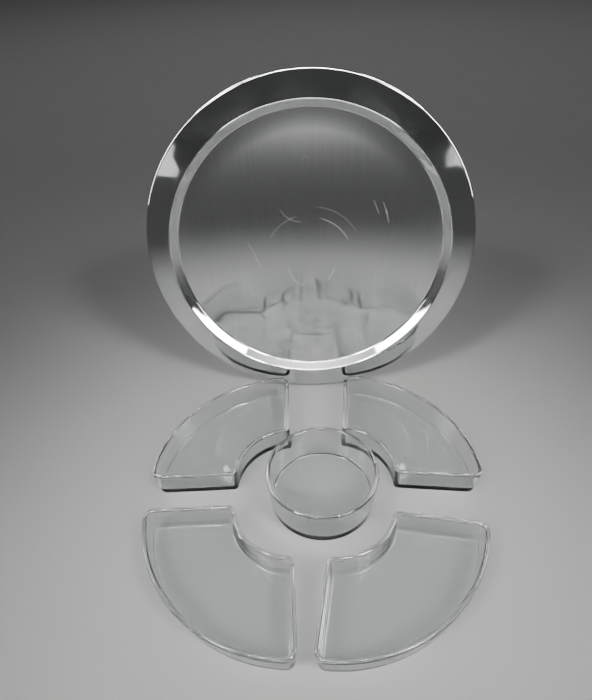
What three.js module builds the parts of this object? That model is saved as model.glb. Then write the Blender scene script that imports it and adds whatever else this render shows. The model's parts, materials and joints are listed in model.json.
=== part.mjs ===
// A chip and dip server: five loose glass dishes set out on a table, and the round metal tray
// that holds them all, stood on its edge behind them.
//
// Millimetres, +Z up, +Y away from the person served. The origin is the centre of the bowl's foot.
// Put together, the bowl sits in the ring of four dishes, and the ring fills the tray's well.

import * as THREE from 'three';

// ---------------------------------------------------------------------------
// Driving dimensions
// ---------------------------------------------------------------------------

// Tray, pressed from one sheet. Its heights are from the plane through the middle of its rolled edge.
const trayDiameter = 355.6; // over the rolled edge, 14 inches
const traySheet = 1.0;
const edgeRollRadius = 2.0;
const wellRadius = 146.1; // flat floor
const wellFloorHeight = -7.7;
const lipRadius = 152.7; // ridge where the well's wall turns over into the flange
const lipHeight = 3.2;
const wellCornerRound = 2.5;
const lipRound = 2.0;

// Where the tray stands: the bottom of its rolled edge, and how far it leans back from upright.
const trayFoot = { x: -9.7, y: 173.4 };
const trayLeanDegrees = 5.3;

// Round bowl in the middle.
const bowlRimRadius = 57.5;
const bowlFootRadius = 54.4;
const bowlHeight = 45.4;
const bowlWall = 4.6;
const bowlFloorRadius = 51.4;
const bowlFloorHeight = 6.5;
const bowlFootRound = 2.5;
const bowlFloorRound = 2.2;

// Quarter-ring dishes: one shape, four copies. Radii are from the centre of the closed ring.
const ringOuterRadius = 149;
const ringInnerRadius = 58.2;
const ringHalfGap = 1.0; // each straight side stands this far off the ring's centre line
const dishHeight = 29.5;
const dishWall = 4.5;
const dishFloor = 3.8;
const dishOuterCorner = 10.5;
const dishInnerCorner = 6.3;
const leastOuterCorner = 1.5; // corners grow tighter inward, down to these two radii
const leastInnerCorner = 1.2;
const dishArcTaper = 3.8; // how far the foot is set in from the rim, under the outer arc
const dishSideTaper = 1.4; // the same, under the other three sides
const dishInsideDraft = 2.0;
const dishFootRound = 1.4;
const dishFloorRound = 2.0;

// Where each dish stands: the centre of its arcs, and its turn from square.
const dishPlaces = [
  { name: 'dish_rear_right', quarter: 0, x: 17.8, y: 10.6, turn: -4.5 },
  { name: 'dish_rear_left', quarter: 1, x: -31.0, y: 7.9, turn: 2.8 },
  { name: 'dish_front_left', quarter: 2, x: -28.6, y: -26.3, turn: 2.8 },
  { name: 'dish_front_right', quarter: 3, x: 11.2, y: -27.2, turn: -9.0 },
];

// A glass rim is two rounds with a hair's breadth of flat between them. This is half that flat.
const rimHalfFlat = 0.05;

// How finely round shapes are cut into flats.
const traySegments = 72;
const bowlSegments = 48;
const roundSteps = 2; // flats on each rounded corner of a section
const rollSteps = 10; // flats around the rolled edge
const outerArcSteps = 18;
const innerArcSteps = 9;
const cornerSteps = 4;

// ---------------------------------------------------------------------------
// Materials
// ---------------------------------------------------------------------------

const polishedMetal = new THREE.MeshStandardMaterial({ color: 0xc8cacd, metalness: 1, roughness: 0.18 });

function clearGlass() {
  return new THREE.MeshStandardMaterial({
    color: 0xe9f0ef,
    metalness: 0,
    roughness: 0.04,
    transparent: true,
    opacity: 0.35,
  });
}

// ---------------------------------------------------------------------------
// Sections: outlines in a (distance, height) plane
// ---------------------------------------------------------------------------

// Points of a line through the corners, with each corner that has a fillet cut to an arc.
function roundedLine(corners) {
  const points = [];
  corners.forEach((corner, i) => {
    const at = new THREE.Vector2(corner.x, corner.y);
    if (!corner.fillet) {
      points.push(at);
      return;
    }
    const before = new THREE.Vector2(corners[i - 1].x, corners[i - 1].y).sub(at).normalize();
    const after = new THREE.Vector2(corners[i + 1].x, corners[i + 1].y).sub(at).normalize();
    const halfAngle = Math.acos(THREE.MathUtils.clamp(before.dot(after), -1, 1)) / 2;
    const centre = before.clone().add(after).normalize()
      .multiplyScalar(corner.fillet / Math.sin(halfAngle)).add(at);
    const start = before.clone().multiplyScalar(corner.fillet / Math.tan(halfAngle)).add(at).sub(centre);
    const end = after.clone().multiplyScalar(corner.fillet / Math.tan(halfAngle)).add(at).sub(centre);
    const sweep = Math.atan2(start.cross(end), start.dot(end));
    for (let k = 0; k <= roundSteps; k += 1) {
      points.push(start.clone().rotateAround(new THREE.Vector2(), (sweep * k) / roundSteps).add(centre));
    }
  });
  return points;
}

// Where two lines cross, each given by a point and a direction.
function crossing(pointA, alongA, pointB, alongB) {
  const t = pointB.clone().sub(pointA).cross(alongB) / alongA.cross(alongB);
  return alongA.clone().multiplyScalar(t).add(pointA);
}

// A closed section turned about the +Z axis.
function turned(section, segments) {
  return new THREE.LatheGeometry(section, segments).rotateX(Math.PI / 2);
}

// ---------------------------------------------------------------------------
// Tray
// ---------------------------------------------------------------------------

function trayGeometry() {
  const rollCentre = new THREE.Vector2(trayDiameter / 2 - edgeRollRadius, 0);
  const wellEdge = new THREE.Vector2(wellRadius, wellFloorHeight);
  const lip = new THREE.Vector2(lipRadius, lipHeight);

  // The flange's top face runs from the lip to the roll and touches it as a tangent.
  const toRoll = rollCentre.clone().sub(lip);
  const flangeAngle = Math.atan2(toRoll.y, toRoll.x) + Math.asin(edgeRollRadius / toRoll.length());
  const alongFlange = new THREE.Vector2(Math.cos(flangeAngle), Math.sin(flangeAngle));
  const alongWall = lip.clone().sub(wellEdge).normalize();
  const alongFloor = new THREE.Vector2(1, 0);

  // The underside is the same line, one sheet lower.
  const under = (point, along) => new THREE.Vector2(along.y, -along.x).multiplyScalar(traySheet).add(point);
  const wellEdgeUnder = crossing(
    under(wellEdge, alongFloor), alongFloor, under(wellEdge, alongWall), alongWall);
  const lipUnder = crossing(under(lip, alongWall), alongWall, under(lip, alongFlange), alongFlange);

  const rollStart = flangeAngle + Math.PI / 2;
  const rollSweep = 2 * Math.PI - Math.acos((edgeRollRadius - traySheet) / edgeRollRadius);
  const roll = [];
  for (let k = 0; k <= rollSteps; k += 1) {
    const angle = rollStart - (rollSweep * k) / rollSteps;
    roll.push(new THREE.Vector2(Math.cos(angle), Math.sin(angle))
      .multiplyScalar(edgeRollRadius).add(rollCentre));
  }

  const topFace = roundedLine([
    { x: 0, y: wellFloorHeight },
    { x: wellEdge.x, y: wellEdge.y, fillet: wellCornerRound },
    { x: lip.x, y: lip.y, fillet: lipRound },
    roll[0],
  ]);
  const underside = roundedLine([
    roll[rollSteps],
    { x: lipUnder.x, y: lipUnder.y, fillet: lipRound - traySheet },
    { x: wellEdgeUnder.x, y: wellEdgeUnder.y, fillet: wellCornerRound + traySheet },
    { x: 0, y: wellFloorHeight - traySheet },
  ]);
  const section = [...topFace, ...roll.slice(1, rollSteps), ...underside];
  return turned(section.reverse(), traySegments);
}

function makeTray() {
  const tray = new THREE.Mesh(trayGeometry(), polishedMetal);
  tray.name = 'tray';
  const lean = THREE.MathUtils.degToRad(trayLeanDegrees);
  const reach = trayDiameter / 2 - edgeRollRadius;
  tray.rotation.x = Math.PI / 2 - lean;
  tray.position.set(
    trayFoot.x, trayFoot.y + reach * Math.sin(lean), edgeRollRadius + reach * Math.cos(lean));
  return tray;
}

// ---------------------------------------------------------------------------
// Round bowl
// ---------------------------------------------------------------------------

function makeBowl() {
  const rimRound = bowlWall / 2 - rimHalfFlat;
  const section = roundedLine([
    { x: 0, y: 0 },
    { x: bowlFootRadius, y: 0, fillet: bowlFootRound },
    { x: bowlRimRadius, y: bowlHeight, fillet: rimRound },
    { x: bowlRimRadius - bowlWall, y: bowlHeight, fillet: rimRound },
    { x: bowlFloorRadius, y: bowlFloorHeight, fillet: bowlFloorRound },
    { x: 0, y: bowlFloorHeight },
  ]);
  const bowl = new THREE.Mesh(turned(section, bowlSegments), clearGlass());
  bowl.name = 'centre_bowl';
  return bowl;
}

// ---------------------------------------------------------------------------
// Quarter-ring dish
// ---------------------------------------------------------------------------

// Outline of a quarter ring in the +X +Y quarter, counter-clockwise, set in from the rim's outline
// by one distance under the outer arc and another under the other three sides.
function quarterRing(arcInset, sideInset) {
  const outer = ringOuterRadius - arcInset;
  const inner = ringInnerRadius + sideInset;
  const side = ringHalfGap + sideInset;
  const outerRound = Math.max(dishOuterCorner - sideInset, leastOuterCorner);
  const innerRound = Math.max(dishInnerCorner - sideInset, leastInnerCorner);
  const outerX = Math.sqrt((outer - outerRound) ** 2 - (side + outerRound) ** 2);
  const innerX = Math.sqrt((inner + innerRound) ** 2 - (side + innerRound) ** 2);
  const outerAngle = Math.atan2(side + outerRound, outerX);
  const innerAngle = Math.atan2(side + innerRound, innerX);
  const right = Math.PI / 2;

  const points = [];
  // The two long arcs leave out their end points, which the corners already have.
  const arc = (x, y, radius, from, to, steps, leftOut) => {
    for (let k = leftOut; k <= steps - leftOut; k += 1) {
      const angle = from + ((to - from) * k) / steps;
      points.push(new THREE.Vector2(x + radius * Math.cos(angle), y + radius * Math.sin(angle)));
    }
  };
  arc(outerX, side + outerRound, outerRound, -right, outerAngle, cornerSteps, 0);
  arc(0, 0, outer, outerAngle, right - outerAngle, outerArcSteps, 1);
  arc(side + outerRound, outerX, outerRound, right - outerAngle, Math.PI, cornerSteps, 0);
  arc(side + innerRound, innerX, innerRound, Math.PI, 3 * right - innerAngle, cornerSteps, 0);
  arc(0, 0, inner, right - innerAngle, innerAngle, innerArcSteps, 1);
  arc(innerX, side + innerRound, innerRound, Math.PI + innerAngle, 3 * right, cornerSteps, 0);
  return points;
}

// Closed solid through a stack of outlines with equal point counts, capped at both ends.
function lofted(rings) {
  const count = rings[0].outline.length;
  const positions = [];
  rings.forEach((ring) => ring.outline.forEach((point) => positions.push(point.x, point.y, ring.z)));

  const faces = [];
  for (let level = 0; level < rings.length - 1; level += 1) {
    for (let k = 0; k < count; k += 1) {
      const a = level * count + k;
      const b = level * count + ((k + 1) % count);
      faces.push(a, b, b + count, a, b + count, a + count);
    }
  }
  const last = (rings.length - 1) * count;
  THREE.ShapeUtils.triangulateShape(rings[0].outline, []).forEach(([a, b, c]) => faces.push(a, c, b));
  THREE.ShapeUtils.triangulateShape(rings[rings.length - 1].outline, [])
    .forEach(([a, b, c]) => faces.push(last + a, last + b, last + c));

  const geometry = new THREE.BufferGeometry();
  geometry.setAttribute('position', new THREE.Float32BufferAttribute(positions, 3));
  geometry.setIndex(faces);
  geometry.computeVertexNormals();
  return geometry;
}

function dishGeometry() {
  // Section across a wall: x is how far in from the rim's outline, y is the height.
  const rimRound = dishWall / 2 - rimHalfFlat;
  const far = dishWall + dishInsideDraft + 2 * dishFloorRound; // clear of every round
  const section = roundedLine([
    { x: far, y: 0 },
    { x: dishSideTaper, y: 0, fillet: dishFootRound },
    { x: 0, y: dishHeight, fillet: rimRound },
    { x: dishWall, y: dishHeight, fillet: rimRound },
    { x: dishWall + dishInsideDraft, y: dishFloor, fillet: dishFloorRound },
    { x: far, y: dishFloor },
  ]).slice(1, -1);

  // Outside, the wall under the outer arc leans in further towards the foot.
  const outsideCount = 2 * (roundSteps + 1);
  const rings = section.map((point, i) => {
    const extra = i < outsideCount ? (dishArcTaper - dishSideTaper) * (1 - point.y / dishHeight) : 0;
    return { z: point.y, outline: quarterRing(point.x + extra, point.x) };
  });
  return lofted(rings);
}

function makeDishes() {
  const geometry = dishGeometry();
  return dishPlaces.map((place) => {
    const dish = new THREE.Mesh(geometry, clearGlass());
    dish.name = place.name;
    dish.position.set(place.x, place.y, 0);
    dish.rotation.z = THREE.MathUtils.degToRad(90 * place.quarter + place.turn);
    return dish;
  });
}

// ---------------------------------------------------------------------------

const server = new THREE.Group();
server.add(makeTray(), makeBowl(), ...makeDishes());

export default server;
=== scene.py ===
import json
import math

import bpy
from mathutils import Matrix, Vector

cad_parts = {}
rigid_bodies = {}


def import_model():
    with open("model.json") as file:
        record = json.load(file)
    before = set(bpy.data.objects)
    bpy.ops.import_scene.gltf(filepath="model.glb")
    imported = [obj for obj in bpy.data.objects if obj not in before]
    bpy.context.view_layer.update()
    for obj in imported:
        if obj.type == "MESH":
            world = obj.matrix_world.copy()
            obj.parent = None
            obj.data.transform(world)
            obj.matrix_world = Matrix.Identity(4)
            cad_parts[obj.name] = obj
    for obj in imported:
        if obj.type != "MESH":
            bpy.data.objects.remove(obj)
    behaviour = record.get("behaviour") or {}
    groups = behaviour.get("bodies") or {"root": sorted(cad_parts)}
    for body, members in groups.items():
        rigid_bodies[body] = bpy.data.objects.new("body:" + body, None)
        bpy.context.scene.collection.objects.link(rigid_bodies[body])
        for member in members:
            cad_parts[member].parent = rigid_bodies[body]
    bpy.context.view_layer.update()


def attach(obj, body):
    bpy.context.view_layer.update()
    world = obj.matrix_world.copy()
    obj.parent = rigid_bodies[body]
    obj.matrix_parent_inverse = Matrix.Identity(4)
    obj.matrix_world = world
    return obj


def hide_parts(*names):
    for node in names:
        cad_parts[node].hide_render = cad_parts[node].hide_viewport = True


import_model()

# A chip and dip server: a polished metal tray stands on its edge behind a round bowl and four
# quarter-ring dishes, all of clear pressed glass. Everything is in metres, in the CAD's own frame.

MM = 0.001
TURN = 2 * math.pi

# ---------------------------------------------------------------------------------------------
# Driving dimensions, the same as the CAD's
# ---------------------------------------------------------------------------------------------

# Tray. Heights are from the plane through the middle of its rolled edge.
TRAY_RADIUS = 177.8 * MM
TRAY_SHEET = 1.0 * MM
EDGE_ROLL = 2.0 * MM
WELL_RADIUS = 146.1 * MM
WELL_FLOOR = -7.7 * MM
WELL_CORNER_ROUND = 2.5 * MM
LIP_RADIUS = 152.7 * MM
LIP_HEIGHT = 3.2 * MM
LIP_ROUND = 2.0 * MM
TRAY_FOOT_X = -9.7 * MM
TRAY_FOOT_Y = 173.4 * MM
TRAY_LEAN = math.radians(5.3)

# Pressing pulls the outer band of the well's floor up a little towards the wall.
PULL_START = 126.0 * MM
PULL_END = 142.0 * MM
PULL_RISE = 0.35 * MM
PULL_STEPS = 8

# The brushing stops this far inside the well's corner.
BRUSHING_MARGIN = 1.0 * MM

# Bowl
BOWL_RIM = 57.5 * MM
BOWL_FOOT = 54.4 * MM
BOWL_HEIGHT = 45.4 * MM
BOWL_WALL = 4.6 * MM
BOWL_FLOOR_RADIUS = 51.4 * MM
BOWL_FLOOR = 6.5 * MM
BOWL_FOOT_ROUND = 2.5 * MM
BOWL_FLOOR_ROUND = 2.2 * MM

# Quarter-ring dish. Radii are from the centre of the closed ring.
RING_OUTER = 149.0 * MM
RING_INNER = 58.2 * MM
RING_HALF_GAP = 1.0 * MM
DISH_HEIGHT = 29.5 * MM
DISH_WALL = 4.5 * MM
DISH_FLOOR = 3.8 * MM
DISH_OUTER_CORNER = 10.5 * MM
DISH_INNER_CORNER = 6.3 * MM
DISH_LEAST_OUTER_CORNER = 1.5 * MM
DISH_LEAST_INNER_CORNER = 1.2 * MM
DISH_ARC_TAPER = 3.8 * MM
DISH_SIDE_TAPER = 1.4 * MM
DISH_INSIDE_DRAFT = 2.0 * MM
DISH_FOOT_ROUND = 1.4 * MM
DISH_FLOOR_ROUND = 2.0 * MM

# Name, quarter of the ring, centre of the arcs in millimetres, turn in degrees.
DISHES = [
    ("rear_right", 0, 17.8, 10.6, -4.5),
    ("rear_left", 1, -31.0, 7.9, 2.8),
    ("front_left", 2, -28.6, -26.3, 2.8),
    ("front_right", 3, 11.2, -27.2, -9.0),
]

RIM_HALF_FLAT = 0.05 * MM

# How finely round shapes are cut.
LATHE_SEGMENTS = 288
ROUND_STEPS = 10
ROLL_STEPS = 28
CORNER_STEPS = 14
OUTER_ARC_STEPS = 84
INNER_ARC_STEPS = 40
SUPPORT = 0.25 * MM

# ---------------------------------------------------------------------------------------------
# Sections and meshes
# ---------------------------------------------------------------------------------------------


def rounded(corners):
    """Points of a line through corners (x, y, fillet radius), each with a fillet cut to an arc."""
    points = []
    for i, (x, y, radius) in enumerate(corners):
        at = Vector((x, y))
        if not radius:
            points.append(at)
            continue
        before = (Vector(corners[i - 1][:2]) - at).normalized()
        after = (Vector(corners[i + 1][:2]) - at).normalized()
        half = before.angle(after) / 2
        centre = at + (before + after).normalized() * (radius / math.sin(half))
        start = at + before * (radius / math.tan(half)) - centre
        end = at + after * (radius / math.tan(half)) - centre
        sweep = math.atan2(start.cross(end), start.dot(end))
        for k in range(ROUND_STEPS + 1):
            points.append(centre + Matrix.Rotation(sweep * k / ROUND_STEPS, 2) @ start)
    return points


def supported(points):
    """The same line with a point close to each end of every long straight, which keeps it flat."""
    made = [points[0]]
    for a, b in zip(points, points[1:]):
        along = b - a
        if along.length > 5 * SUPPORT:
            made.append(a + along.normalized() * SUPPORT)
            made.append(b - along.normalized() * SUPPORT)
        made.append(b)
    return made


def offset(points, distance):
    """The line moved sideways, to the right of its direction, with mitred corners."""
    least_cosine = 0.5
    made = []
    for i, point in enumerate(points):
        before = (point - points[max(i - 1, 0)]).normalized()
        after = (points[min(i + 1, len(points) - 1)] - point).normalized()
        along = (before + after).normalized()
        straight = after if i < len(points) - 1 else before
        across = Vector((along.y, -along.x))
        made.append(point + across * distance / max(along.dot(straight), least_cosine))
    return made


def new_piece(name, vertices, faces, materials):
    """A smooth-shaded mesh object."""
    mesh = bpy.data.meshes.new(name)
    mesh.from_pydata(vertices, [], faces)
    for material in materials:
        mesh.materials.append(material)
    mesh.polygons.foreach_set("use_smooth", [True] * len(mesh.polygons))
    piece = bpy.data.objects.new(name, mesh)
    bpy.context.scene.collection.objects.link(piece)
    return piece


def turned(section):
    """Vertices and faces of a closed section, from axis to axis, turned about Z."""
    vertices = [(0, 0, section[0].y)]
    for point in section[1:-1]:
        for k in range(LATHE_SEGMENTS):
            angle = TURN * k / LATHE_SEGMENTS
            vertices.append((point.x * math.cos(angle), point.x * math.sin(angle), point.y))
    vertices.append((0, 0, section[-1].y))

    rings = len(section) - 2
    last = len(vertices) - 1
    faces = []
    for k in range(LATHE_SEGMENTS):
        after = (k + 1) % LATHE_SEGMENTS
        faces.append((0, 1 + after, 1 + k))
        for ring in range(rings - 1):
            low = 1 + ring * LATHE_SEGMENTS
            high = low + LATHE_SEGMENTS
            faces.append((low + k, low + after, high + after, high + k))
        top = 1 + (rings - 1) * LATHE_SEGMENTS
        faces.append((top + k, top + after, last))
    return vertices, faces


def lofted(rings):
    """Vertices and faces of a closed solid through outlines (points, height), capped at both ends."""
    count = len(rings[0][0])
    vertices = [(point.x, point.y, height) for outline, height in rings for point in outline]
    faces = []
    for level in range(len(rings) - 1):
        for k in range(count):
            a = level * count + k
            b = level * count + (k + 1) % count
            faces.append((a, b, b + count, a + count))
    last = (len(rings) - 1) * count
    faces.append(tuple(reversed(range(count))))
    faces.append(tuple(range(last, last + count)))
    return vertices, faces


# ---------------------------------------------------------------------------------------------
# Materials
# ---------------------------------------------------------------------------------------------


def node(tree, kind, inputs=None, **settings):
    """A new shader node. An input is given as a value, or as the socket that feeds it."""
    made = tree.nodes.new("ShaderNode" + kind)
    for name, value in settings.items():
        setattr(made, name, value)
    for name, value in (inputs or {}).items():
        if isinstance(value, bpy.types.NodeSocket):
            tree.links.new(value, made.inputs[name])
        else:
            made.inputs[name].default_value = value
    return made


def new_material(name):
    """A material, its empty node tree, and the object's own coordinates in metres."""
    material = bpy.data.materials.new(name)
    material.use_nodes = True
    tree = material.node_tree
    tree.nodes.clear()
    return material, tree, node(tree, "TexCoord").outputs["Object"]


def stretched_noise(tree, place, cells, detail=2.0):
    """Noise with that many cells a metre along X, Y and Z."""
    scaled = node(tree, "Mapping", {"Vector": place, "Scale": cells}, vector_type="POINT")
    noise = node(tree, "TexNoise", {"Vector": scaled.outputs[0], "Scale": 1.0, "Detail": detail})
    return noise.outputs[0]


def remapped(tree, value, from_low, from_high, to_low, to_high):
    made = node(tree, "MapRange", {"Value": value, "From Min": from_low, "From Max": from_high,
                                   "To Min": to_low, "To Max": to_high})
    return made.outputs[0]


def bump(tree, height, distance, under=None):
    """A normal pushed by height, where 1 is distance metres, on top of an earlier normal."""
    inputs = {"Height": height, "Distance": distance, "Strength": 1.0}
    if under is not None:
        inputs["Normal"] = under
    return node(tree, "Bump", inputs).outputs[0]


def add(tree, a, b):
    return node(tree, "Math", {0: a, 1: b}, operation="ADD").outputs[0]


def times(tree, a, b):
    return node(tree, "Math", {0: a, 1: b}, operation="MULTIPLY").outputs[0]


def finished(tree, shader):
    node(tree, "OutputMaterial", {"Surface": shader})


def scratch_group():
    """Mask of one thin scratch along an arc: 1 on the line, 0 away from it, faded at its ends."""
    group = bpy.data.node_groups.new("arc_scratch", "ShaderNodeTree")
    for name, kind in (("Place", "Vector"), ("Centre", "Vector"), ("Radius", "Float"),
                       ("Middle", "Float"), ("Half angle", "Float"), ("Width", "Float")):
        group.interface.new_socket(name, in_out="INPUT", socket_type="NodeSocket" + kind)
    group.interface.new_socket("Mask", in_out="OUTPUT", socket_type="NodeSocketFloat")
    given = group.nodes.new("NodeGroupInput").outputs

    away = node(group, "VectorMath", {0: given["Place"], 1: given["Centre"]}, operation="SUBTRACT")
    parts = node(group, "SeparateXYZ", {0: away.outputs[0]}).outputs
    flat = node(group, "CombineXYZ", {"X": parts["X"], "Y": parts["Y"]})
    reach = node(group, "VectorMath", {0: flat.outputs[0]}, operation="LENGTH").outputs["Value"]
    off_line = node(group, "Math", {0: reach, 1: given["Radius"]}, operation="SUBTRACT")
    off_line = node(group, "Math", {0: off_line.outputs[0]}, operation="ABSOLUTE").outputs[0]
    across = node(group, "MapRange", {"Value": off_line, "From Min": 0.0, "From Max": given["Width"],
                                      "To Min": 1.0, "To Max": 0.0}, interpolation_type="SMOOTHSTEP")

    angle = node(group, "Math", {0: parts["Y"], 1: parts["X"]}, operation="ARCTAN2").outputs[0]
    turn = node(group, "Math", {0: angle, 1: given["Middle"]}, operation="SUBTRACT").outputs[0]
    wrapped = node(group, "Math", {0: turn, 1: -math.pi, 2: math.pi}, operation="WRAP").outputs[0]
    wrapped = node(group, "Math", {0: wrapped}, operation="ABSOLUTE").outputs[0]
    inside = node(group, "Math", {0: wrapped, 1: given["Half angle"]}, operation="DIVIDE").outputs[0]
    along = node(group, "MapRange", {"Value": inside, "From Min": 0.7, "From Max": 1.0,
                                     "To Min": 1.0, "To Max": 0.0})
    mask = times(group, across.outputs[0], along.outputs[0])
    out = group.nodes.new("NodeGroupOutput")
    group.links.new(mask, out.inputs["Mask"])
    return group


METAL_COLOUR = (0.78, 0.785, 0.79, 1)
SCORED_COLOUR = (0.95, 0.95, 0.95, 1)
GLASS_COLOUR = (0.935, 0.947, 0.943, 1)
GLASS_IOR = 1.5
GLASS_SHADE_FACING = (0.96, 0.97, 0.965, 1)
GLASS_SHADE_EDGE_ON = (0.42, 0.44, 0.43, 1)
TRAY_PLAN = "tray_plan"  # UV map with the tray's own plan, in metres from its centre


def polished_metal():
    """Mirror finish of the flange, wall and rolled edge, slightly rippled by the pressing."""
    material, tree, place = new_material("tray_polished")
    ripple = stretched_noise(tree, place, (38, 38, 38), 1.0)
    smear = stretched_noise(tree, place, (24, 24, 24), 5.0)
    hairlines = stretched_noise(tree, place, (900, 120, 500), 3.0)
    normal = bump(tree, ripple, 0.16 * MM)
    normal = bump(tree, hairlines, 0.0015 * MM, normal)
    roughness = remapped(tree, smear, 0.35, 0.75, 0.035, 0.10)
    metal = node(tree, "BsdfPrincipled", {
        "Base Color": METAL_COLOUR, "Metallic": 1.0, "Roughness": roughness, "Normal": normal})
    finished(tree, metal.outputs[0])
    return material


SCRATCH_WIDTH = 1.1 * MM

# Scratches on the well's floor: x and y of the arc's centre from the well's centre and its radius,
# in millimetres; middle and half of the arc in degrees; strength. The bowl's foot wore the rings.
SCRATCHES = [
    (0, -6, 47, 52, 26, 1.0),
    (0, -6, 50, 128, 24, 0.5),
    (2, -4, 56, 58, 30, 0.45),
    (-8, 62, 26, 238, 34, 0.5),
    (0, -16, 24, 215, 40, 0.45),
    (2, -14, 25, -25, 22, 0.5),
    (-60, -6, 150, 18, 3.2, 0.9),
    (-58, -10, 150, 23, 3.0, 0.9),
    (-66, -12, 150, 24.5, 3.4, 0.7),
    (-210, -60, 160, 22, 7, 0.3),
    (-74, -48, 4.5, 270, 120, 0.15),
    (-3, 98, 4.0, 90, 170, 0.12),
]


def brushed_metal():
    """Satin floor of the well: fine upright brushing, worn rings and a few scratches."""
    material, tree, _ = new_material("tray_brushed")
    place = node(tree, "UVMap", uv_map=TRAY_PLAN).outputs[0]
    fine = stretched_noise(tree, place, (1500, 14, 1), 3.0)
    coarse = stretched_noise(tree, place, (420, 5, 1), 2.0)
    ripple = stretched_noise(tree, place, (9, 9, 9), 1.0)
    clouds = stretched_noise(tree, place, (30, 22, 1), 4.0)

    group = scratch_group()
    marks = None
    for x, y, radius, middle, half, strength in SCRATCHES:
        mark = node(tree, "Group", node_tree=group)
        tree.links.new(place, mark.inputs["Place"])
        mark.inputs["Centre"].default_value = (x * MM, y * MM, 0)
        mark.inputs["Radius"].default_value = radius * MM
        mark.inputs["Middle"].default_value = math.radians(middle)
        mark.inputs["Half angle"].default_value = math.radians(half)
        mark.inputs["Width"].default_value = SCRATCH_WIDTH
        mask = times(tree, mark.outputs[0], strength)
        marks = mask if marks is None else add(tree, marks, mask)

    brushing = add(tree, times(tree, fine, 0.7), times(tree, coarse, 0.3))
    roughness = remapped(tree, brushing, 0.3, 0.7, 0.02, 0.035)
    roughness = add(tree, roughness, remapped(tree, clouds, 0.4, 0.75, 0.0, 0.01))
    shade = remapped(tree, brushing, 0.3, 0.7, 0.93, 1.05)
    colour = node(tree, "VectorMath", {0: METAL_COLOUR[:3], "Scale": shade}, operation="SCALE")

    normal = bump(tree, ripple, 0.2 * MM)
    normal = bump(tree, brushing, 0.0006 * MM, normal)
    normal = bump(tree, marks, 0.02 * MM, normal)
    tangent = node(tree, "Tangent", direction_type="UV_MAP", uv_map=TRAY_PLAN).outputs[0]
    shared = {"Base Color": colour.outputs[0], "Metallic": 1.0, "Normal": normal, "Tangent": tangent}
    clean = node(tree, "BsdfPrincipled", {**shared, "Roughness": roughness, "Anisotropic": 0.7})
    haze = node(tree, "BsdfPrincipled", {**shared, "Roughness": 0.3, "Anisotropic": 0.85})
    satin = node(tree, "MixShader", {0: 0.28, 1: clean.outputs[0], 2: haze.outputs[0]})
    scored = node(tree, "BsdfPrincipled", {
        "Base Color": SCORED_COLOUR, "Metallic": 1.0, "Roughness": 0.5})
    score = node(tree, "Math", {0: marks, 1: 0.34}, operation="MULTIPLY", use_clamp=True)
    metal = node(tree, "MixShader", {0: score.outputs[0], 1: satin.outputs[0], 2: scored.outputs[0]})
    finished(tree, metal.outputs[0])
    return material


def back_metal():
    """Duller underside of the tray's sheet."""
    material, tree, place = new_material("tray_back")
    clouds = stretched_noise(tree, place, (12, 12, 12), 0.0)
    roughness = remapped(tree, clouds, 0.0, 1.0, 0.22, 0.30)
    metal = node(tree, "BsdfPrincipled", {
        "Base Color": METAL_COLOUR, "Metallic": 1.0, "Roughness": roughness})
    finished(tree, metal.outputs[0])
    return material


def clear_glass(name):
    """Clear pressed glass. Light from lamps and off the table passes it without bending."""
    material, tree, place = new_material(name)
    swell = stretched_noise(tree, place, (22, 22, 30), 1.0)
    flow_lines = stretched_noise(tree, place, (14, 14, 420), 2.0)
    smears = stretched_noise(tree, place, (60, 60, 60), 4.0)
    normal = bump(tree, swell, 0.10 * MM)
    normal = bump(tree, flow_lines, 0.05 * MM, normal)
    roughness = remapped(tree, smears, 0.5, 0.8, 0.0, 0.03)
    glass = node(tree, "BsdfPrincipled", {
        "Base Color": GLASS_COLOUR, "Roughness": roughness, "IOR": GLASS_IOR,
        "Transmission Weight": 1.0, "Normal": normal})

    facing = node(tree, "LayerWeight", {"Blend": 0.35}).outputs["Facing"]
    veil = node(tree, "MixRGB", {"Fac": facing, "Color1": GLASS_SHADE_FACING,
                                 "Color2": GLASS_SHADE_EDGE_ON})
    through = node(tree, "BsdfTransparent", {"Color": veil.outputs[0]}).outputs[0]
    rays = node(tree, "LightPath").outputs
    for_bounces = node(tree, "MixShader", {0: rays["Is Diffuse Ray"], 1: glass.outputs[0], 2: through})
    for_lamps = node(tree, "MixShader", {0: rays["Is Shadow Ray"], 1: for_bounces.outputs[0],
                                         2: through})
    finished(tree, for_lamps.outputs[0])
    return material


# ---------------------------------------------------------------------------------------------
# Tray
# ---------------------------------------------------------------------------------------------


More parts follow.
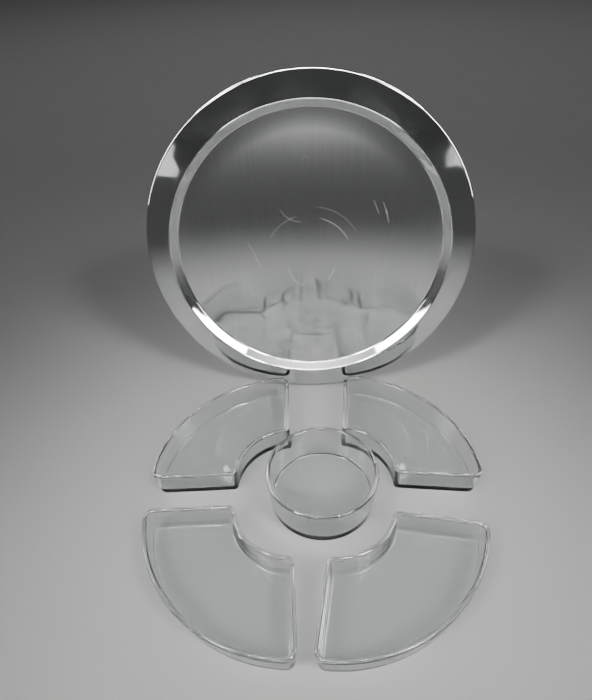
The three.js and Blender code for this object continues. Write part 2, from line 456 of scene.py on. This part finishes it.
def tray_section():
    """The tray's section, from the axis under the floor, round the rolled edge, to the axis on top."""
    roll_centre = Vector((TRAY_RADIUS - EDGE_ROLL, 0))
    to_roll = roll_centre - Vector((LIP_RADIUS, LIP_HEIGHT))
    flange_angle = math.atan2(to_roll.y, to_roll.x) + math.asin(EDGE_ROLL / to_roll.length)

    roll_start = flange_angle + math.pi / 2
    roll_sweep = TURN - math.acos((EDGE_ROLL - TRAY_SHEET) / EDGE_ROLL)
    roll = []
    for k in range(ROLL_STEPS + 1):
        angle = roll_start - roll_sweep * k / ROLL_STEPS
        roll.append(roll_centre + EDGE_ROLL * Vector((math.cos(angle), math.sin(angle))))

    pull = []
    for k in range(1, PULL_STEPS + 1):
        share = k / PULL_STEPS
        radius = PULL_START + share * (PULL_END - PULL_START)
        pull.append((radius, WELL_FLOOR + PULL_RISE * share ** 2, 0))
    end_slope = 2 * PULL_RISE / (PULL_END - PULL_START)
    corner_height = WELL_FLOOR + PULL_RISE + end_slope * (WELL_RADIUS - PULL_END)

    face = rounded([
        (0, WELL_FLOOR, 0),
        (PULL_START, WELL_FLOOR, 0),
        *pull,
        (WELL_RADIUS, corner_height, WELL_CORNER_ROUND),
        (LIP_RADIUS, LIP_HEIGHT, LIP_ROUND),
        (*roll[0], 0),
    ])
    under = offset(face, TRAY_SHEET)
    under[-1] = roll[-1]
    return supported(under) + roll[-2:0:-1] + supported(face)[::-1]


def make_tray():
    vertices, faces = turned(tray_section())
    tray = new_piece("pressed_tray", vertices, faces, [polished_metal(), brushed_metal(), back_metal()])
    brushed, back = 1, 2
    mesh = tray.data
    for face in mesh.polygons:
        radius = Vector(face.center[:2]).length
        if face.normal.z < -0.2 and radius < TRAY_RADIUS - 2 * EDGE_ROLL:
            face.material_index = back
        elif face.normal.z > 0.9 and radius < WELL_RADIUS - BRUSHING_MARGIN:
            face.material_index = brushed
    plan = mesh.uv_layers.new(name=TRAY_PLAN)
    for loop in mesh.loops:
        plan.data[loop.index].uv = mesh.vertices[loop.vertex_index].co[:2]

    reach = TRAY_RADIUS - EDGE_ROLL
    stand = Matrix.Translation((
        TRAY_FOOT_X,
        TRAY_FOOT_Y + reach * math.sin(TRAY_LEAN),
        EDGE_ROLL + reach * math.cos(TRAY_LEAN)))
    mesh.transform(stand @ Matrix.Rotation(math.pi / 2 - TRAY_LEAN, 4, "X"))
    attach(tray, "tray")
    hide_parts("tray")


# ---------------------------------------------------------------------------------------------
# Bowl
# ---------------------------------------------------------------------------------------------


def make_bowl():
    rim_round = BOWL_WALL / 2 - RIM_HALF_FLAT
    section = supported(rounded([
        (0, 0, 0),
        (BOWL_FOOT, 0, BOWL_FOOT_ROUND),
        (BOWL_RIM, BOWL_HEIGHT, rim_round),
        (BOWL_RIM - BOWL_WALL, BOWL_HEIGHT, rim_round),
        (BOWL_FLOOR_RADIUS, BOWL_FLOOR, BOWL_FLOOR_ROUND),
        (0, BOWL_FLOOR, 0),
    ]))
    bowl = new_piece("round_bowl", *turned(section), [clear_glass("bowl_clear_glass")])
    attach(bowl, "bowl")
    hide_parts("centre_bowl")


# ---------------------------------------------------------------------------------------------
# Quarter-ring dishes
# ---------------------------------------------------------------------------------------------


def arc(x, y, radius, start, end, steps):
    angles = [start + (end - start) * k / steps for k in range(steps + 1)]
    return [Vector((x + radius * math.cos(a), y + radius * math.sin(a))) for a in angles]


def quarter_ring(arc_inset, side_inset):
    """Outline of a quarter ring, counter-clockwise, set in from the rim's outline."""
    outer = RING_OUTER - arc_inset
    inner = RING_INNER + side_inset
    side = RING_HALF_GAP + side_inset
    outer_round = max(DISH_OUTER_CORNER - side_inset, DISH_LEAST_OUTER_CORNER)
    inner_round = max(DISH_INNER_CORNER - side_inset, DISH_LEAST_INNER_CORNER)
    outer_x = math.sqrt((outer - outer_round) ** 2 - (side + outer_round) ** 2)
    inner_x = math.sqrt((inner + inner_round) ** 2 - (side + inner_round) ** 2)
    outer_angle = math.atan2(side + outer_round, outer_x)
    inner_angle = math.atan2(side + inner_round, inner_x)
    right = math.pi / 2
    outer_step = (right - 2 * outer_angle) / OUTER_ARC_STEPS
    inner_step = (right - 2 * inner_angle) / INNER_ARC_STEPS
    return [
        *arc(outer_x, side + outer_round, outer_round, -right, outer_angle, CORNER_STEPS),
        *arc(0, 0, outer, outer_angle + outer_step, right - outer_angle - outer_step,
             OUTER_ARC_STEPS - 2),
        *arc(side + outer_round, outer_x, outer_round, right - outer_angle, math.pi, CORNER_STEPS),
        *arc(side + inner_round, inner_x, inner_round, math.pi, 3 * right - inner_angle, CORNER_STEPS),
        *arc(0, 0, inner, right - inner_angle - inner_step, inner_angle + inner_step,
             INNER_ARC_STEPS - 2),
        *arc(inner_x, side + inner_round, inner_round, math.pi + inner_angle, 3 * right, CORNER_STEPS),
    ]


def dish_mesh():
    """Vertices and faces of a quarter-ring dish, with the centre of its arcs at the origin."""
    # Across a wall, x is how far in from the rim's outline, and y is the height.
    rim_round = DISH_WALL / 2 - RIM_HALF_FLAT
    far = DISH_WALL + DISH_INSIDE_DRAFT + 2 * DISH_FLOOR_ROUND
    section = supported(rounded([
        (far, 0, 0),
        (DISH_SIDE_TAPER, 0, DISH_FOOT_ROUND),
        (0, DISH_HEIGHT, rim_round),
        (DISH_WALL, DISH_HEIGHT, rim_round),
        (DISH_WALL + DISH_INSIDE_DRAFT, DISH_FLOOR, DISH_FLOOR_ROUND),
        (far, DISH_FLOOR, 0),
    ]))
    rim_top = max(range(len(section)), key=lambda i: section[i].y)
    rings = []
    for i, point in enumerate(section):
        # Outside, the wall under the outer arc leans in further towards the foot.
        extra = (DISH_ARC_TAPER - DISH_SIDE_TAPER) * (1 - point.y / DISH_HEIGHT) if i < rim_top else 0
        rings.append((quarter_ring(point.x + extra, point.x), point.y))
    return lofted(rings)


def make_dishes():
    vertices, faces = dish_mesh()
    glass = clear_glass("dish_clear_glass")
    for name, quarter, x, y, turn in DISHES:
        dish = new_piece("quarter_dish_" + name, vertices, faces, [glass])
        dish.data.transform(Matrix.Translation((x * MM, y * MM, 0))
                            @ Matrix.Rotation(math.radians(90 * quarter + turn), 4, "Z"))
        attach(dish, "dish_" + name)
        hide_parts("dish_" + name)


# ---------------------------------------------------------------------------------------------
# Camera, floor and light
# ---------------------------------------------------------------------------------------------

CAMERA_PLACE = Vector((-6.4, -311.1, 454.7)) * MM
CAMERA_LENS = 25.88
CAMERA_DOWN = math.radians(43.47)
CAMERA_YAW = math.radians(-2.36)
CAMERA_ROLL = math.radians(-2.36)
CAMERA_SHIFT_X = -0.0052
CAMERA_SHIFT_Y = 0.0528

FLOOR_HALF = 8.0
FLOOR_DROP = 0.2 * MM
FLOOR_COLOUR = (0.33, 0.33, 0.325, 1)


def make_camera():
    data = bpy.data.cameras.new("camera")
    data.lens = CAMERA_LENS
    data.sensor_width = 36
    data.shift_x = CAMERA_SHIFT_X
    data.shift_y = CAMERA_SHIFT_Y
    data.clip_start = 0.01
    data.clip_end = 50
    camera = bpy.data.objects.new("camera", data)
    bpy.context.scene.collection.objects.link(camera)
    aim = (Matrix.Rotation(-CAMERA_YAW, 4, "Z")
           @ Matrix.Rotation(math.pi / 2 - CAMERA_DOWN, 4, "X")
           @ Matrix.Rotation(CAMERA_ROLL, 4, "Z"))
    camera.matrix_world = Matrix.Translation(CAMERA_PLACE) @ aim
    bpy.context.scene.camera = camera


def make_floor():
    """A plain pale floor, a hair under the dishes' feet."""
    material, tree, place = new_material("pale_floor")
    mottle = stretched_noise(tree, place, (14, 14, 14), 3.0)
    roughness = remapped(tree, mottle, 0.3, 0.7, 0.42, 0.5)
    plain = node(tree, "BsdfPrincipled", {"Base Color": FLOOR_COLOUR, "Roughness": roughness})
    finished(tree, plain.outputs[0])
    corners = [(x * FLOOR_HALF, y * FLOOR_HALF, -FLOOR_DROP)
               for x, y in ((-1, -1), (1, -1), (1, 1), (-1, 1))]
    floor = new_piece("floor", corners, [(0, 1, 2, 3)], [material])


def only_pieces(name, beginnings):
    """The pieces whose names begin so, as a collection for lamps that light nothing else."""
    chosen = bpy.data.collections.new(name)
    for piece in bpy.context.scene.objects:
        if piece.name.startswith(beginnings):
            chosen.objects.link(piece)
    return chosen


def soft_box(name, place, target, width, height, power, spread, only_on):
    """A soft rectangular lamp that the camera doesn't see directly. It may light some pieces only."""
    data = bpy.data.lights.new(name, "AREA")
    data.shape = "RECTANGLE"
    data.size = width
    data.size_y = height
    data.energy = power
    data.spread = math.radians(spread)
    lamp = bpy.data.objects.new(name, data)
    bpy.context.scene.collection.objects.link(lamp)
    facing = (Vector(target) - Vector(place)).to_track_quat("-Z", "Y")
    lamp.matrix_world = Matrix.Translation(place) @ facing.to_matrix().to_4x4()
    lamp.visible_camera = False
    if only_on is not None:
        lamp.light_linking.receiver_collection = only_on


# Lamps: name, place, the point it faces, width, height, watts, spread in degrees, and what it lights.
# Lamps in pairs are given for the right-hand side, with watts on the left and on the right.
TABLE = (0, 0, 0)
PAIRED_LAMPS = [
    ("key_box", (0.75, -0.65, 1.1), TABLE, 0.35, 0.35, (1.1, 1.1), 40, "all"),
    ("low_box", (1.0, -1.9, 0.12), (0, 0.1, 0.1), 0.3, 0.22, (0.07, 0.07), 120, "shiny"),
    ("side_strip", (1.1, 0.15, 0.65), (0, 0.2, 0.2), 0.25, 0.95, (3.4, 4.6), 120, "shiny"),
    ("back_strip", (0.8, 1.0, 1.1), TABLE, 0.9, 0.08, (8, 8), 120, "shiny"),
    ("side_wash", (3.0, -0.6, 2.4), (2.7, -0.6, 0), 2.5, 3.5, (9, 9), 160, "floor"),
]
SINGLE_LAMPS = [
    ("top_strip", (0, -0.25, 1.5), TABLE, 1.3, 0.06, 12, 120, "shiny"),
    ("wall_fill", (0, 0.1, 1.5), (0, 0.17, 0), 2.6, 0.2, 0.9, 120, "shiny"),
    ("haze_box", (0, -2.0, 0.2), (0, 0.19, 0.3), 1.0, 0.08, 1.8, 120, "shiny"),
    ("floor_wash", (0, 2.6, 2.6), (0, 2.2, 0), 3.0, 3.0, 16, 160, "floor"),
]
SKY_COLOUR = (0.97, 0.985, 1.0, 1)
SKY_AT_HORIZON = 0.06
SKY_OVERHEAD = 0.16


def make_light():
    """Two key boxes light everything. The floor doesn't see the strips that draw the edges."""
    lit = {
        "all": None,
        "shiny": only_pieces("shiny", ("pressed_tray", "round_bowl", "quarter_dish")),
        "floor": only_pieces("floor_only", ("floor",)),
    }
    for side, ending in enumerate(("_left", "_right")):
        mirror = Vector((2 * side - 1, 1, 1))
        for name, place, target, width, height, watts, spread, lights in PAIRED_LAMPS:
            soft_box(name + ending, mirror * Vector(place), mirror * Vector(target), width, height,
                     watts[side], spread, lit[lights])
    for name, place, target, width, height, watts, spread, lights in SINGLE_LAMPS:
        soft_box(name, place, target, width, height, watts, spread, lit[lights])

    world = bpy.data.worlds.new("studio")
    world.use_nodes = True
    tree = world.node_tree
    tree.nodes.clear()
    direction = node(tree, "TexCoord").outputs["Generated"]
    up = node(tree, "SeparateXYZ", {0: direction}).outputs["Z"]
    glow = remapped(tree, up, 0.0, 1.0, SKY_AT_HORIZON, SKY_OVERHEAD)
    sky = node(tree, "Background", {"Color": SKY_COLOUR, "Strength": glow})
    node(tree, "OutputWorld", {"Surface": sky.outputs[0]})
    bpy.context.scene.world = world
    bpy.context.scene.view_settings.look = "AgX - Medium High Contrast"

    cycles = bpy.context.scene.cycles
    cycles.max_bounces = 20
    cycles.transmission_bounces = 20
    cycles.glossy_bounces = 8
    cycles.transparent_max_bounces = 24
    cycles.caustics_refractive = False
    cycles.caustics_reflective = False
    cycles.sample_clamp_indirect = 6


make_camera()
make_tray()
make_bowl()
make_dishes()
make_floor()
make_light()
